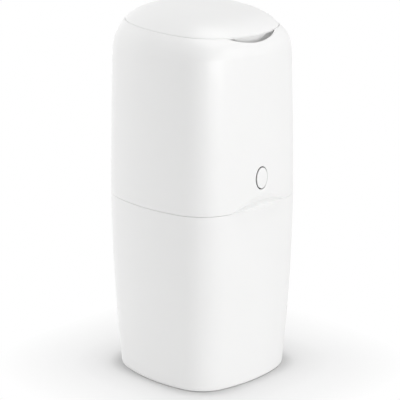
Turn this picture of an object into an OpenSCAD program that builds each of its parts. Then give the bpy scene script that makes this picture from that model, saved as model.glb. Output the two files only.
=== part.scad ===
// Floor-standing nappy bin: a lower bin, a hinged upper housing with its film cassette and
// clamp, a hinged lid, and a push button that frees the latch between the two halves.
// Millimetres, +Z up, front faces -Y, origin on the floor under the middle.

/* [Body] */
// Width across the flat sides at the seam
body_w = 240; // [220:1:260]
// Height of the seam between the lower bin and the upper housing
seam_z = 270; // [265:1:275]
// Height where the wall turns into the rounded shoulder
shoulder_z = 470; // [466:1:474]
// Rise from the start of the shoulder to the middle of the lid
crown_h = 77; // [74:1:80]
// Wall thickness of the big shells
wall = 2.8; // [2.4:0.1:3.2]
// Width lost from the seam down to the floor, as a share
base_taper = 0.0965; // [0.08:0.0005:0.11]
// Width lost from the seam up to the shoulder, as a share
top_taper = 0.034; // [0.02:0.001:0.045]
// Height of the rounding at the foot of the lower bin
foot_high = 8; // [6:1:10]
// How far that rounding goes in
foot_in = 3.5; // [3:0.5:5]

/* [Lid] */
// Half-width of the line between lid and shoulder
lid_half = 102; // [100:0.5:104]
// Tilt of the lid line, rear higher
lid_tilt = 3.34; // [3:0.01:4]
// Wall thickness of the lid
lid_wall = 2.6; // [2:0.1:3]
// Half-width of the hole under the lid
well_half = 86; // [84:0.5:87]

/* [Finger holds] */
// Half-width of the lip that lifts the upper housing
lip_half = 56; // [50:1:58]
// How far the lip stands out from the wall
lip_out = 6; // [5.5:0.5:6]
// Height of the lip's edge in the middle
strip_high = 6.4; // [5:0.2:7]
// How far the wall is hollowed above the lip
hollow_in = 3.5; // [2:0.5:3.5]
// Half-width of the finger scoop under the front edge of the lid
scoop_half = 49; // [47:1:52]
// Half-width of the shoulder where the scoop starts
scoop_rim = 109.5; // [108:0.5:110]
// Height of the floor of the scoop
scoop_z = 496.5; // [496:0.5:498]
// Half-width of the tab under the lid's front edge
tab_half = 32; // [29:1:34]
// Height of the tab's lower edge in the middle
tab_z = 504; // [503:0.5:505]

/* [Button and latch] */
// Height of the middle of the button
button_z = 313; // [310:1:316]
// Width of the button
button_w = 21; // [20:0.2:23]
// Height of the button
button_h = 30.4; // [29:0.2:33]
// How far the button travels
button_travel = 4; // [3:0.5:4]
// Gap round the button
button_gap = 1.7; // [1:0.1:1.8]
// Height of the latch lever's pivot above the middle of the button
lever_arm = 32; // [30:1:34]

/* [Film unit] */
// Outer radius of the refill cassette
cassette_r = 85; // [80:1:85]
// Radius of the throat through the cassette
throat_r = 62; // [58:1:64]
// Height of the refill cassette
cassette_h = 53; // [45:1:53]
// Distance from the middle to each jaw's hinge pin
jaw_pin_y = 62; // [60:1:64]

/* [Hidden] */

shell = "#f3f3f2";
inner_shell = "#e3e3e1";
rubber = "#4a4a4c";
steel = "#c4c6c8";
grey = "#b9bbbd";
film = "#dfe9ee";
dark = "#2c2c2e";

half = body_w/2;
crown_half = half*(1 - top_taper);
n_side = 12;
n_corner = 7;
n_quarter = n_side + n_corner;
n_round = 4*n_quarter;
$fn = 64;

// Plan shape: radii of the bowed sides and of the corners as shares of the half-width
side_share = 2.165;
corner_share = 0.541;
lid_side_share = 1.62;
lid_corner_share = 0.615;
crown_rise_power = 2.53;
crown_plan_power = 3.84;

seam_gap = 0.25;
spigot_rise = 3;
foot_gap = 0.6;
foot_z = 3;
rim_half = lid_half + 0.3;
crease_half = crown_half*pow(1 - pow(20/crown_h, crown_rise_power), 1/crown_plan_power);
lid_seam_z = shoulder_z + crown_rise(lid_half);
ledge_drop = 3.4;
front_y = -wall_half(button_z);

body_hinge_y = half + 1.4;
body_hinge_r = 4.6;
body_pin_r = 2.2;
lid_hinge_y = lid_half + 2;
lid_hinge_z = lid_seam_z + lid_hinge_y*tan(lid_tilt) + 0.2;
lid_hinge_r = 2.8;
lid_pin_r = 1.2;
lid_knuckle_half = 17;
lid_lug_w = 5.6;
pin_clearance = 0.05;
tab_face = lid_half - 4.2;
tab_wall = 2.4;
tab_rise = 8.5;
tab_top_z = lid_seam_z - 3.6;

tray_z = 430;
flange_z = 490;
boss_at = 70.5;
frame_z = 392;
frame_x = 62;
frame_y = 72;
frame_wall = 4;
jaw_pin_z = 418;
jaw_pin_r = 2;
jaw_drop = 12;
button_flange_y = -113.5;
guide_y = button_flange_y + button_travel + 6.5;
lever_y = guide_y + 6.7;
lever_z = button_z + lever_arm;
bracket_y = -115.2;
hook_z = 252.5;
keeper_z = 257;

function mix(a, b, t) = a + (b - a)*t;
function unit(t) = min(1, max(0, t));

// Half-width of the outer wall at height z
function wall_half(z) = half*(z < seam_z
    ? 1 - base_taper*pow(1 - z/seam_z, 1.9)
    : 1 - top_taper*pow((z - seam_z)/(shoulder_z - seam_z), 1.35));

// Rise of the crown above the shoulder's start at half-width h
function crown_rise(h) = crown_h
    *pow(1 - pow(min(1, h/crown_half), crown_plan_power), 1/crown_rise_power);

// Share of the way in from the wall to the lid line
function lid_share(h) = unit((crown_half - h)/(crown_half - lid_half));

// One point of a bowed square with round corners. Its half-width, side radius and corner
// radius all shrink by the inset, so an inset outline keeps a constant distance.
function plan_point(i, h, share, inset) = let(
    side_r = h*mix(side_share, lid_side_share, share) - inset,
    corner_r = h*mix(corner_share, lid_corner_share, share) - inset,
    p = side_r - (h - inset),
    c = (-2*p + sqrt(4*p*p - 8*(p*p - pow(side_r - corner_r, 2))))/4,
    turn = atan2(c, c + p),
    quarter = floor(i/n_quarter),
    j = i % n_quarter,
    on_side = j < n_side,
    a = on_side ? turn*(2*j/n_side - 1) : turn + (90 - 2*turn)*(j - n_side)/n_corner,
    x = on_side ? side_r*cos(a) - p : c + corner_r*cos(a),
    y = on_side ? side_r*sin(a) : c + corner_r*sin(a))
    [x*cos(90*quarter) - y*sin(90*quarter), x*sin(90*quarter) + y*cos(90*quarter)];

// Smooth step from 0 to 1
function smooth(t) = let(u = unit(t)) u*u*(3 - 2*u);

// Share of the lip's height that is left at x
function leaf(x) = max(0.08, 1 - pow(x/lip_half, 2));

// How far the front wall stands out at x and height z: a strip along the lower edge, and a
// hollow above it, both lower towards the ends of a leaf shape
function lip_offset(x, z) = let(
    t = (z - seam_z - seam_gap)/leaf(x),
    fall = smooth((t - strip_high)/2.6),
    fade = smooth((t - strip_high - 2.6)/10.5),
    ends = max(0, 1 - pow(x/lip_half, 2)))
    lip_out*max(0, 1 - pow(x/lip_half, 4))*(1 - fall) - hollow_in*ends*fall*(1 - fade);

// How far the inner wall goes in behind that hollow, clear of the spigot of the lower bin
function hollow_back(x, z) = max(0, -lip_offset(x, z) - 0.8)*smooth((z - seam_z - 3.6)/2);

// A level ring of the wall at height z, of half-width h and moved in by the inset
function ring(h, z, inset = 0) = [for (i = [0:n_round - 1]) [each plan_point(i, h, 0, inset), z]];

// A ring of the wall at height z
function wall_ring(z, inset = 0) = ring(wall_half(z), z, inset);

// A ring along the lip on the outside of the wall, t above the seam in the middle of the
// front and lower towards the lip's ends
function lip_ring(t) = [for (p = ring(half, 0)) let(
    z = seam_z + seam_gap + t*leaf(p[1] < 0 ? p[0] : lip_half))
    [p[0], p[1] - (p[1] < 0 ? lip_offset(p[0], z) : 0), z]];

// The same on the inside of the wall
function lip_back_ring(t) = [for (p = ring(half, 0, wall)) let(
    z = seam_z + seam_gap + t*leaf(p[1] < 0 ? p[0] : lip_half))
    [p[0], p[1] + (p[1] < 0 ? hollow_back(p[0], z) : 0), z]];

// Height of the crown's surface at half-width h, before the tilt
function crown_z(h) = shoulder_z + crown_rise(h);

// A ring near the lid, of half-width h at height z, tilted more the nearer it is
function tilted_ring(h, z) = scoop_ring(h, z, h, z, 2);

// A ring of the crown at half-width h
function crown_ring(h, drop = 0) = tilted_ring(h, crown_z(h) - drop);

// A ring that changes from h0 and z0 to h1 and z1 in the middle of the front, along a bump
// that is fuller the higher its power. Without heights it stays on the crown's surface.
function scoop_ring(h0, z0, h1, z1, power) = [for (i = [0:n_round - 1]) let(
    p0 = plan_point(i, h0, lid_share(h0), 0),
    bump = p0[1] < 0 ? pow(max(0, 1 - pow(abs(p0[0])/scoop_half, power)), 0.8) : 0,
    h = mix(h0, h1, bump),
    z = is_undef(z0) ? crown_z(h) : mix(z0, z1, bump),
    p = plan_point(i, h, lid_share(h), 0))
    [p[0], p[1], z + lid_share(h)*p[1]*tan(lid_tilt)]];

// The height to give a ring for its point on the front, at half-width h, to lie at height z
function front_z(h, z) = z + lid_share(h)*h*tan(lid_tilt);

// Solid through a list of rings, closed at both ends, or back onto its first ring
module skin(rings, looped = false) {
    last = len(rings) - 1;
    faces = [for (k = [0:looped ? last : last - 1], i = [0:n_round - 1], t = [0, 1])
        let(
            below = k*n_round,
            above = ((k + 1) % (last + 1))*n_round,
            j = (i + 1) % n_round)
        t == 0 ? [below + i, above + i, above + j] : [below + i, above + j, below + j]];
    caps = looped ? [] : [
        [for (i = [0:n_round - 1]) i],
        [for (i = [0:n_round - 1]) last*n_round + n_round - 1 - i]];
    polyhedron(points = [for (r = rings) each r], faces = concat(faces, caps), convexity = 6);
}

// Cylinder along X between two places
module x_rod(x0, x1, y, z, r) {
    translate([x0, y, z]) rotate([0, 90, 0]) cylinder(h = x1 - x0, r = r);
}

// Cylinder along Y between two places
module y_rod(y0, y1, x, z, r) {
    translate([x, y0, z]) rotate([-90, 0, 0]) cylinder(h = y1 - y0, r = r);
}

// Block between two corners
module block(low, high) {
    translate(low) cube(high - low);
}

// Tube standing on z0
module tube(z0, z1, r0, r1) {
    translate([0, 0, z0]) rotate_extrude() translate([r0, 0]) square([r1 - r0, z1 - z0]);
}

// Upright oval plate between two places along Y
module oval_plate(y0, y1, w, h) {
    translate([0, y1, button_z]) rotate([90, 0, 0]) linear_extrude(y1 - y0)
        polygon([for (a = [0:6:354]) [w/2*cos(a), h/2*sin(a)]]);
}

// The lid's outline in plan
function lid_outline(h) = [for (i = [0:n_round - 1]) plan_point(i, h, 1, 0)];

// Flat plate with the lid's outline, between two levels counted from the tilted lid line
module lid_plate(h, z0, z1) {
    translate([0, 0, lid_seam_z]) rotate([lid_tilt, 0, 0]) translate([0, 0, z0])
        linear_extrude(z1 - z0) polygon(lid_outline(h));
}

// A hinge knuckle and the web that joins it to its wall
module knuckle(x0, x1, y, z, r, web_y, web_z0, web_z1) {
    x_rod(x0, x1, y, z, r);
    block([x0, web_y, web_z0], [x1, y, web_z1]);
}

// Rear wall of the body beside a knuckle at x
function rear_wall_y(x) = half - x*x/(2*half*side_share);

module body_knuckle(x0, x1, up) {
    mid = (x0 + x1)/2;
    web_z = up > 0 ? seam_z + 1 : seam_z - 5.4;
    knuckle(x0, x1, body_hinge_y, seam_z, body_hinge_r, rear_wall_y(mid) - 1.6, web_z, web_z + 4.4);
}

module lower_bin() {
    base_half = wall_half(foot_gap + foot_high);
    spigot_z = seam_z + spigot_rise;
    color(shell) difference() {
        union() {
            skin([
                for (a = [0:30:90])
                    ring(base_half, foot_gap + foot_high*(1 - cos(a)), foot_in*(1 - sin(a))),
                for (z = [30, 60, 95, 135, 180, 225]) wall_ring(z),
                ring(half, seam_z - seam_gap),
                ring(half, seam_z - seam_gap, wall + 0.8),
                ring(half, spigot_z, wall + 0.8),
                ring(half, spigot_z, wall + 3.2),
                ring(half, seam_z - 8, wall + 3.2),
                for (z = [seam_z - 9.8, 225, 180, 135, 95, 60, 30, 18]) wall_ring(z, wall),
                wall_ring(10, wall + 2.5),
                wall_ring(6, wall + 8)]);
            for (s = [-1, 1]) body_knuckle(54*s - 4, 54*s + 4, 0);
        }
        x_rod(-70, 70, body_hinge_y, seam_z, body_pin_r);
        for (x = [-1, 1], y = [-1, 1]) translate([72*x, 72*y, 0]) cylinder(h = foot_z, r = 9.2);
    }
}

module rubber_feet() {
    color(rubber) for (x = [-1, 1], y = [-1, 1])
        translate([72*x, 72*y, 0]) cylinder(h = foot_z, r = 9);
}

module latch_keeper() {
    back = -half + wall + 0.65;
    color(grey) difference() {
        union() {
            block([-12, back, keeper_z - 26], [12, back + 3, keeper_z + 3]);
            block([-12, back, keeper_z], [12, -104, keeper_z + 3]);
        }
        for (x = [-6, 6]) y_rod(back - 1, back + 4, x, keeper_z - 14, 1.8);
    }
}

module keeper_screws() {
    back = -half + wall + 0.65;
    color(steel) for (x = [-6, 6]) {
        y_rod(back - 2.4, back + 3, x, keeper_z - 14, 1.8);
        y_rod(back + 3, back + 5.2, x, keeper_z - 14, 3.4);
    }
}

module body_hinge_pins() {
    color(steel) for (x = [-67, 41]) x_rod(x, x + 26, body_hinge_y, seam_z, body_pin_r);
}

module upper_housing() {
    ledge_z = lid_seam_z - ledge_drop;
    under_z = ledge_z - wall;
    floor_under = scoop_z - 2.6;
    color(shell) difference() {
        union() {
            skin([
                for (t = [0, 3, strip_high, 7.3, 8.1, 9, 11.5, 14.5, 19.5]) lip_ring(t),
                for (z = [334, 380, 425, shoulder_z]) wall_ring(z),
                for (t = [0, 0.12, 0.34, 0.58, 0.8, 1]) scoop_ring(
                    mix(crease_half, rim_half, t), undef, mix(crease_half, scoop_rim, t), undef, 2),
                scoop_ring(rim_half - 0.1, lid_seam_z - 0.8, 107.9, front_z(107.9, scoop_z + 4.2), 2),
                scoop_ring(rim_half - 0.1, lid_seam_z - 1.4, 106, front_z(106, scoop_z + 0.8), 2),
                scoop_ring(rim_half - 0.2, lid_seam_z - 2, 101.5, front_z(101.5, scoop_z), 4),
                scoop_ring(rim_half - 0.2, lid_seam_z - 2.5, 93, front_z(93, scoop_z + 0.8), 4),
                scoop_ring(rim_half - 0.3, lid_seam_z - 2.9, 92, front_z(92, scoop_z + 3.9), 4),
                scoop_ring(lid_half, ledge_z, 91.8, ledge_z, 4),
                tilted_ring(well_half, ledge_z),
                tilted_ring(well_half, under_z),
                scoop_ring(99.2, under_z, 89.2, under_z, 4),
                scoop_ring(101.8, lid_seam_z - 9.6, 89.7, front_z(89.7, floor_under + 2), 4),
                scoop_ring(104.5, lid_seam_z - 14.6, 92, front_z(92, floor_under), 4),
                scoop_ring(107.5, lid_seam_z - 19.6, 106, front_z(106, floor_under), 2),
                tilted_ring(110.2, lid_seam_z - 27),
                ring(crown_half - 1, shoulder_z + 14, wall),
                for (z = [shoulder_z, 425, 380, 334]) wall_ring(z, wall),
                for (t = [19.5, 14.5, 11.5, 9, 7.3, 5.6, 3.4, 0]) lip_back_ring(t)],
                looped = true);
            for (s = [-1, 1]) {
                for (x = [46.4, 61.8]) body_knuckle(s*x - 3.2, s*x + 3.2, 1);
                translate([s*(lid_knuckle_half + 0.4 + lid_lug_w/2), 0, 0])
                    knuckle(-lid_lug_w/2, lid_lug_w/2, lid_hinge_y, lid_hinge_z, lid_hinge_r,
                        lid_hinge_y - 1.9, lid_hinge_z - 15, lid_hinge_z);
                for (y = [-1, 1]) translate([s*boss_at, y*boss_at, flange_z + 3])
                    cylinder(h = under_z + y*boss_at*tan(lid_tilt) - flange_z - 2, r = 4.5);
            }
        }
        x_rod(-70, 70, body_hinge_y, seam_z, body_pin_r + pin_clearance);
        x_rod(-26, 26, lid_hinge_y, lid_hinge_z, lid_pin_r);
        oval_plate(front_y - 5, front_y + wall + 4, button_w + 2*button_gap, button_h + 2*button_gap);
        x_rod(-lid_knuckle_half - 0.4, lid_knuckle_half + 0.4, lid_hinge_y, lid_hinge_z,
            lid_hinge_r + 0.5);
        block([-lid_knuckle_half - 0.4, 97, lid_hinge_z - 2.4],
            [lid_knuckle_half + 0.4, lid_hinge_y, lid_hinge_z + 6]);
    }
}

module cassette_tray() {
    color(inner_shell) difference() {
        rotate_extrude() polygon([[throat_r - 1, tray_z], [88.5, tray_z], [88.5, flange_z],
            [105, flange_z], [105, flange_z + 3], [86, flange_z + 3], [86, tray_z + 3],
            [throat_r - 1, tray_z + 3]]);
        for (x = [-1, 1], y = [-1, 1]) translate([x*boss_at, y*boss_at, flange_z - 1])
            cylinder(h = 5, r = 1.75);
        for (x = [-1, 1], y = [-1, 1]) translate([70*x, 36*y, tray_z - 1])
            cylinder(h = 5, r = 1.6);
    }
}

// Pan-head screw with its head below z and its shank going up
module screw_up(z, shank, r) {
    translate([0, 0, z]) cylinder(h = shank, r = r);
    translate([0, 0, z - 2]) cylinder(h = 2, r = 2*r);
}

module tray_screws() {
    color(steel) for (x = [-1, 1], y = [-1, 1]) translate([x*boss_at, y*boss_at, 0])
        screw_up(flange_z, 13, 1.75);
}

module refill_cassette() {
    z = tray_z + 3.2;
    color(grey) rotate_extrude() polygon([[throat_r, z], [cassette_r, z],
        [cassette_r, z + cassette_h], [cassette_r - 2, z + cassette_h], [cassette_r - 2, z + 2],
        [throat_r + 2, z + 2], [throat_r + 2, z + cassette_h - 4], [throat_r, z + cassette_h - 4]]);
}

module film_pack() {
    z = tray_z + 3.2;
    color(film) tube(z + 2.2, z + cassette_h - 5, throat_r + 2.6, cassette_r - 2.6);
}

module cassette_cover() {
    z = tray_z + 3.2 + cassette_h;
    color(grey) rotate_extrude() polygon([[throat_r + 5, z - 3], [throat_r + 7, z - 3],
        [throat_r + 7, z], [cassette_r, z], [cassette_r, z + 2], [throat_r + 5, z + 2]]);
}

module clamp_frame() {
    color(inner_shell) difference() {
        union() {
            translate([0, 0, tray_z - 3]) cylinder(h = 3, r = 86);
            block([-frame_x, -frame_y, frame_z], [frame_x, frame_y, tray_z - 2.9]);
        }
        block([-frame_x + frame_wall, -frame_y + frame_wall, frame_z - 1],
            [frame_x - frame_wall, frame_y - frame_wall, tray_z - 3]);
        translate([0, 0, tray_z - 4]) cylinder(h = 6, r = throat_r - 6);
        for (y = [-1, 1]) x_rod(-frame_x - 1, frame_x + 1, y*jaw_pin_y, jaw_pin_z, jaw_pin_r);
        for (x = [-1, 1], y = [-1, 1]) translate([70*x, 36*y, tray_z - 4])
            cylinder(h = 6, r = 1.6);
    }
}

module clamp_screws() {
    color(steel) for (x = [-1, 1], y = [-1, 1]) translate([70*x, 36*y, 0])
        screw_up(tray_z - 3, 6, 1.6);
}

module jaw_pin(side) {
    color(steel) x_rod(-frame_x, frame_x + 9, side*jaw_pin_y, jaw_pin_z, jaw_pin_r);
}

module front_jaw_pin() {
    jaw_pin(-1);
}

module rear_jaw_pin() {
    jaw_pin(1);
}

module jaw_springs() {
    color(steel) for (y = [-1, 1]) difference() {
        x_rod(frame_x + 0.3, frame_x + 8.3, y*jaw_pin_y, jaw_pin_z, jaw_pin_r + 2.2);
        x_rod(frame_x, frame_x + 9, y*jaw_pin_y, jaw_pin_z, jaw_pin_r + 0.2);
    }
}

// One jaw: a hub on its pin, a sloping plate and a thick closing edge. Its side is -1 for
// the front jaw and 1 for the rear jaw.
module jaw(side) {
    reach = jaw_pin_y - 0.5;
    w = frame_x - frame_wall - 1;
    color("#d4d8da") difference() {
        union() {
            x_rod(-w, w, side*jaw_pin_y, jaw_pin_z, 5);
            translate([-w, 0, 0]) rotate([90, 0, 90]) linear_extrude(2*w)
                polygon([for (p = [[0, 2.2], [-reach, 2.2 - jaw_drop], [-reach, -8 - jaw_drop],
                    [-reach + 5, -8 - jaw_drop], [-reach + 5, -2 - jaw_drop], [0, -2.2]])
                    [side*(jaw_pin_y + p[0]), jaw_pin_z + p[1]]]);
        }
        x_rod(-w - 1, w + 1, side*jaw_pin_y, jaw_pin_z, jaw_pin_r + pin_clearance);
    }
}

module front_jaw() {
    jaw(-1);
}

module rear_jaw() {
    jaw(1);
}

module film_cutter() {
    y = -frame_y;
    color(grey) difference() {
        block([-28, y - 8, frame_z], [28, y, frame_z + 12]);
        block([-24, y - 4.6, frame_z - 1], [24, y - 4, frame_z + 6]);
    }
}

module cutter_blade() {
    color(steel) block([-24, -frame_y - 4.6, frame_z + 1], [24, -frame_y - 4, frame_z + 6]);
}

module button_guide() {
    color(dark) difference() {
        union() {
            block([-22, guide_y, button_z - 23], [22, guide_y + 3, button_z + 23]);
            for (x = [-22, 19])
                block([x, bracket_y, button_z - 23], [x + 3, guide_y + 3, button_z + 23]);
        }
        y_rod(guide_y - 1, guide_y + 4, 0, button_z, 5 + pin_clearance);
    }
}

module button_spring() {
    color(steel) difference() {
        y_rod(button_flange_y + 0.2, guide_y - 0.1, 0, button_z, 7.4);
        y_rod(button_flange_y, guide_y, 0, button_z, 5.8);
    }
}

module release_button() {
    color(shell) {
        oval_plate(front_y - 1.5, button_flange_y - 2, button_w, button_h);
        oval_plate(button_flange_y - 2, button_flange_y, button_w + 6, button_h + 6);
        y_rod(button_flange_y, lever_y - 2.3, 0, button_z, 5);
    }
}

module latch_bracket() {
    color(grey) difference() {
        union() {
            block([-14, bracket_y, lever_z - 6], [14, bracket_y + 3, lever_z + 6]);
            for (x = [-14, 11])
                block([x, bracket_y, lever_z - 6], [x + 3, lever_y + 5, lever_z + 6]);
        }
        x_rod(-15, 15, lever_y, lever_z, 1.5);
    }
}

module latch_pin() {
    color(steel) x_rod(-15.5, 15.5, lever_y, lever_z, 1.5);
}

module latch_lever() {
    color(grey) difference() {
        union() {
            x_rod(-10.5, 10.5, lever_y, lever_z, 4.5);
            block([-8, lever_y - 1.5, hook_z], [8, lever_y + 1.5, lever_z]);
            block([-8, -108, hook_z], [8, lever_y, hook_z + 4]);
        }
        x_rod(-12, 12, lever_y, lever_z, 1.5 + pin_clearance);
    }
}

module lid_hinge_pins() {
    color(steel) for (x = [-24, 8]) x_rod(x, x + 16, lid_hinge_y, lid_hinge_z, lid_pin_r);
}

module lid() {
    rim_z = lid_seam_z - 2.9;
    edge_half = lid_half - 0.3;
    color(shell) difference() {
        union() {
            skin([
                for (h = [8, 38, 60, 76, 86]) crown_ring(h, lid_wall + 0.3),
                crown_ring(92, lid_wall + 1),
                tilted_ring(98.6, rim_z),
                tilted_ring(edge_half, rim_z),
                for (h = [edge_half + 0.1, 100, 97, 92, 86, 77, 64, 48, 28, 8]) crown_ring(h)]);
            knuckle(-lid_knuckle_half, lid_knuckle_half, lid_hinge_y, lid_hinge_z,
                lid_hinge_r, 98, lid_hinge_z - 2, lid_hinge_z + 1.6);
            intersection() {
                translate([0, 0, tab_z - 1]) linear_extrude(tab_top_z - tab_z + 1) difference() {
                    polygon(lid_outline(tab_face));
                    polygon(lid_outline(tab_face - tab_wall));
                }
                rotate([90, 0, 0]) linear_extrude(half) polygon(concat(
                    [for (t = [-1:0.125:1]) [t*tab_half, tab_z + tab_rise*t*t]],
                    [[tab_half, lid_seam_z], [-tab_half, lid_seam_z]]));
            }
        }
        x_rod(-lid_knuckle_half - 1, lid_knuckle_half + 1, lid_hinge_y, lid_hinge_z,
            lid_pin_r + pin_clearance);
    }
}

module lid_liner() {
    color(inner_shell) lid_plate(93.4, -1.5, 0.5);
}

module lid_seal() {
    color(rubber) difference() {
        lid_plate(92.5, -3.1, -1.5);
        lid_plate(87.5, -4, -1);
    }
}

module lid_catch() {
    color(grey) block([-9, -84, lid_seam_z - 17], [9, -81.6, lid_seam_z - 6.5]);
}

lower_bin();
rubber_feet();
latch_keeper();
keeper_screws();
body_hinge_pins();
upper_housing();
cassette_tray();
tray_screws();
refill_cassette();
film_pack();
cassette_cover();
clamp_frame();
clamp_screws();
front_jaw_pin();
rear_jaw_pin();
jaw_springs();
front_jaw();
rear_jaw();
film_cutter();
cutter_blade();
button_guide();
button_spring();
release_button();
latch_bracket();
latch_pin();
latch_lever();
lid_hinge_pins();
lid();
lid_liner();
lid_seal();
lid_catch();
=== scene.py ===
import bpy
import math
import numpy as np
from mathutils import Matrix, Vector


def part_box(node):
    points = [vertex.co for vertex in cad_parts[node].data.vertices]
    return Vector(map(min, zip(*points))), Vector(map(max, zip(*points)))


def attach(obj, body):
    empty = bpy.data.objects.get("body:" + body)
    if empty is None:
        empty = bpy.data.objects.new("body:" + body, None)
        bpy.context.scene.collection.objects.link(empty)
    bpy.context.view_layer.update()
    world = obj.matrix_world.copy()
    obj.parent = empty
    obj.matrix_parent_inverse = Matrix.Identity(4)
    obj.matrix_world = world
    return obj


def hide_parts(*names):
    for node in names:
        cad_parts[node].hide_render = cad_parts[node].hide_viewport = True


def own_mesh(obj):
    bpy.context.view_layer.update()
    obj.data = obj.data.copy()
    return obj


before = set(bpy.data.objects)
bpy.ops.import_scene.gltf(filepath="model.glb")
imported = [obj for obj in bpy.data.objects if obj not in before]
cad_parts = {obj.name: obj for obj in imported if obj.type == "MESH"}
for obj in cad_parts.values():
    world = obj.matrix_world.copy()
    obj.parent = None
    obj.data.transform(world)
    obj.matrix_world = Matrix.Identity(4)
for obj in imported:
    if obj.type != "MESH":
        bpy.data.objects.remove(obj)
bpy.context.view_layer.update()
print("frame loaded")

mm = 0.001

# The outer form, from which every shell is worked out
form = {
    "half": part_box("lower_bin")[1].x,  # half-width at the seam
    "seamZ": 270 * mm,
    "shoulderZ": 470 * mm,
    "crownRise": 77 * mm,
    "wall": 2.8 * mm,
    "baseTaper": 0.0965,
    "basePower": 1.9,
    "topTaper": 0.034,
    "topPower": 1.35,
    "sideShare": 2.165,  # radius of the bowed sides over the half-width
    "cornerShare": 0.541,
    "lidSideShare": 1.62,
    "lidCornerShare": 0.615,
    "planPower": 3.84,
    "risePower": 2.53,
    "lidHalf": 102 * mm,
    "lidTilt": math.radians(3.34),
    "seamGap": 0.25 * mm,
    "creaseZ": 490 * mm,  # where the straight wall turns into the crown
}
form["crownHalf"] = form["half"] * (1 - form["topTaper"])
form["creaseHalf"] = form["crownHalf"] * (
    1 - ((form["creaseZ"] - form["shoulderZ"]) / form["crownRise"]) ** form["risePower"]
) ** (1 / form["planPower"])

camera = {
    "azimuth": -45.28,
    "elevation": 16.066,
    "pitch": 16.162,
    "distance": 2.4,
    "aimZ": 0.288,
    "lens": 146.8,
    "shift": (-0.0052, -0.047),
}


# object made from its data and put in the scene
def newObject(name, data):
    obj = bpy.data.objects.new(name, data)
    bpy.context.collection.objects.link(obj)
    return obj


# camera at a distance from the aim, by azimuth and elevation; its pitch is set on its own
def makeCamera(s):
    az, el = math.radians(s["azimuth"]), math.radians(s["elevation"])
    back = np.array([math.sin(az) * math.cos(el), -math.cos(az) * math.cos(el), math.sin(el)])
    data = bpy.data.cameras.new("camera")
    data.lens = s["lens"]
    data.shift_x, data.shift_y = s["shift"]
    obj = newObject("camera", data)
    obj.location = back * s["distance"] + np.array([0, 0, s["aimZ"]])
    obj.rotation_euler = (math.pi / 2 - math.radians(s["pitch"]), 0, az)
    bpy.context.scene.camera = obj


makeCamera(camera)
print("camera placed")


# the two methods of a sign: the wire stands on its left in one and on its right in the other
def signPair(operation):
    return (lambda wire, other: wire.maths(operation, wire, other),
            lambda wire, other: wire.maths(operation, other, wire))


class Wire:
    # one socket of a shader; the sums, products and powers it is used in add Math nodes
    def __init__(self, shader, socket):
        self.shader = shader
        self.socket = socket

    def maths(self, operation, a, b=0.0):
        return self.shader.add("ShaderNodeMath", {0: a, 1: b}, {"operation": operation})

    __add__, __radd__ = signPair("ADD")
    __sub__, __rsub__ = signPair("SUBTRACT")
    __mul__, __rmul__ = signPair("MULTIPLY")
    __truediv__, __rtruediv__ = signPair("DIVIDE")
    __pow__, __rpow__ = signPair("POWER")


class Shader:
    # the nodes of a material or of the world, added one at a time
    def __init__(self, owner, end="ShaderNodeOutputMaterial"):
        owner.use_nodes = True
        self.owner = owner
        self.tree = owner.node_tree
        self.tree.nodes.clear()
        self.end = self.tree.nodes.new(end)

    def add(self, kind, sockets=None, settings=None, out=0):
        node = self.tree.nodes.new(kind)
        for key, value in (settings or {}).items():
            if key == "stops":
                self.setStops(node.color_ramp, value)
            else:
                setattr(node, key, value)
        for key, value in (sockets or {}).items():
            if isinstance(value, Wire):
                self.tree.links.new(value.socket, node.inputs[key])
            else:
                node.inputs[key].default_value = value
        return Wire(self, node.outputs[out])

    def setStops(self, ramp, stops):
        while len(ramp.elements) < len(stops):
            ramp.elements.new(1.0)
        for element, (place, value) in zip(ramp.elements, stops):
            element.position = place
            element.color = (value, value, value, 1)

    def place(self, scale=(1, 1, 1)):
        spot = self.add("ShaderNodeTexCoord", out=3)
        return self.add("ShaderNodeMapping", {"Vector": spot, "Scale": scale})

    def noise(self, spot, scale, detail, rough=0.5):
        return self.add("ShaderNodeTexNoise", {"Vector": spot, "Scale": scale, "Detail": detail,
                                               "Roughness": rough})

    def ramp(self, value, stops):
        return self.add("ShaderNodeValToRGB", {"Fac": value}, {"stops": stops})

    def tint(self, fac, dark, light):
        return self.add("ShaderNodeMix", {0: fac, 6: (*dark, 1), 7: (*light, 1)},
                        {"data_type": "RGBA"}, out=2)

    def bump(self, height, strength, distance):
        return self.add("ShaderNodeBump",
                        {"Height": height, "Strength": strength, "Distance": distance})

    def close(self, sockets):
        return self.finish(self.add("ShaderNodeBsdfPrincipled", sockets))

    def finish(self, surface):
        self.tree.links.new(surface.socket, self.end.inputs["Surface"])
        return self.owner


# moulded plastic: base colour wanders a little with a slow noise, roughness with a finer
# one, and a fine grain lifts the surface by a few microns
def mouldedPlastic(name, dark, light, rough, grain, coat=0.0):
    s = Shader(bpy.data.materials.new(name))
    spot = s.place()
    cloud = s.noise(spot, 9.0, 3.0)
    fine = s.noise(spot, 900.0, 2.0)
    swirl = s.noise(spot, 45.0, 4.0, 0.6)
    return s.close({
        "Base Color": s.tint(cloud, dark, light),
        "Roughness": rough + (swirl - 0.5) * 0.10,
        "Normal": s.bump(fine * 0.7 + swirl * 0.3, grain, 0.0002),
        "Coat Weight": coat,
        "Coat Roughness": 0.12,
        "IOR": 1.49,
    })


# rubber: near-black with a slow bloom of grey, and a coarse matt grain
def softRubber(name):
    s = Shader(bpy.data.materials.new(name))
    spot = s.place()
    bloom = s.noise(spot, 60.0, 4.0)
    grain = s.noise(spot, 1400.0, 2.0)
    return s.close({
        "Base Color": s.tint(bloom, (0.035, 0.035, 0.037), (0.075, 0.075, 0.078)),
        "Roughness": 0.72 + (grain - 0.5) * 0.2,
        "Normal": s.bump(grain, 0.35, 0.0003),
    })


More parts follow.
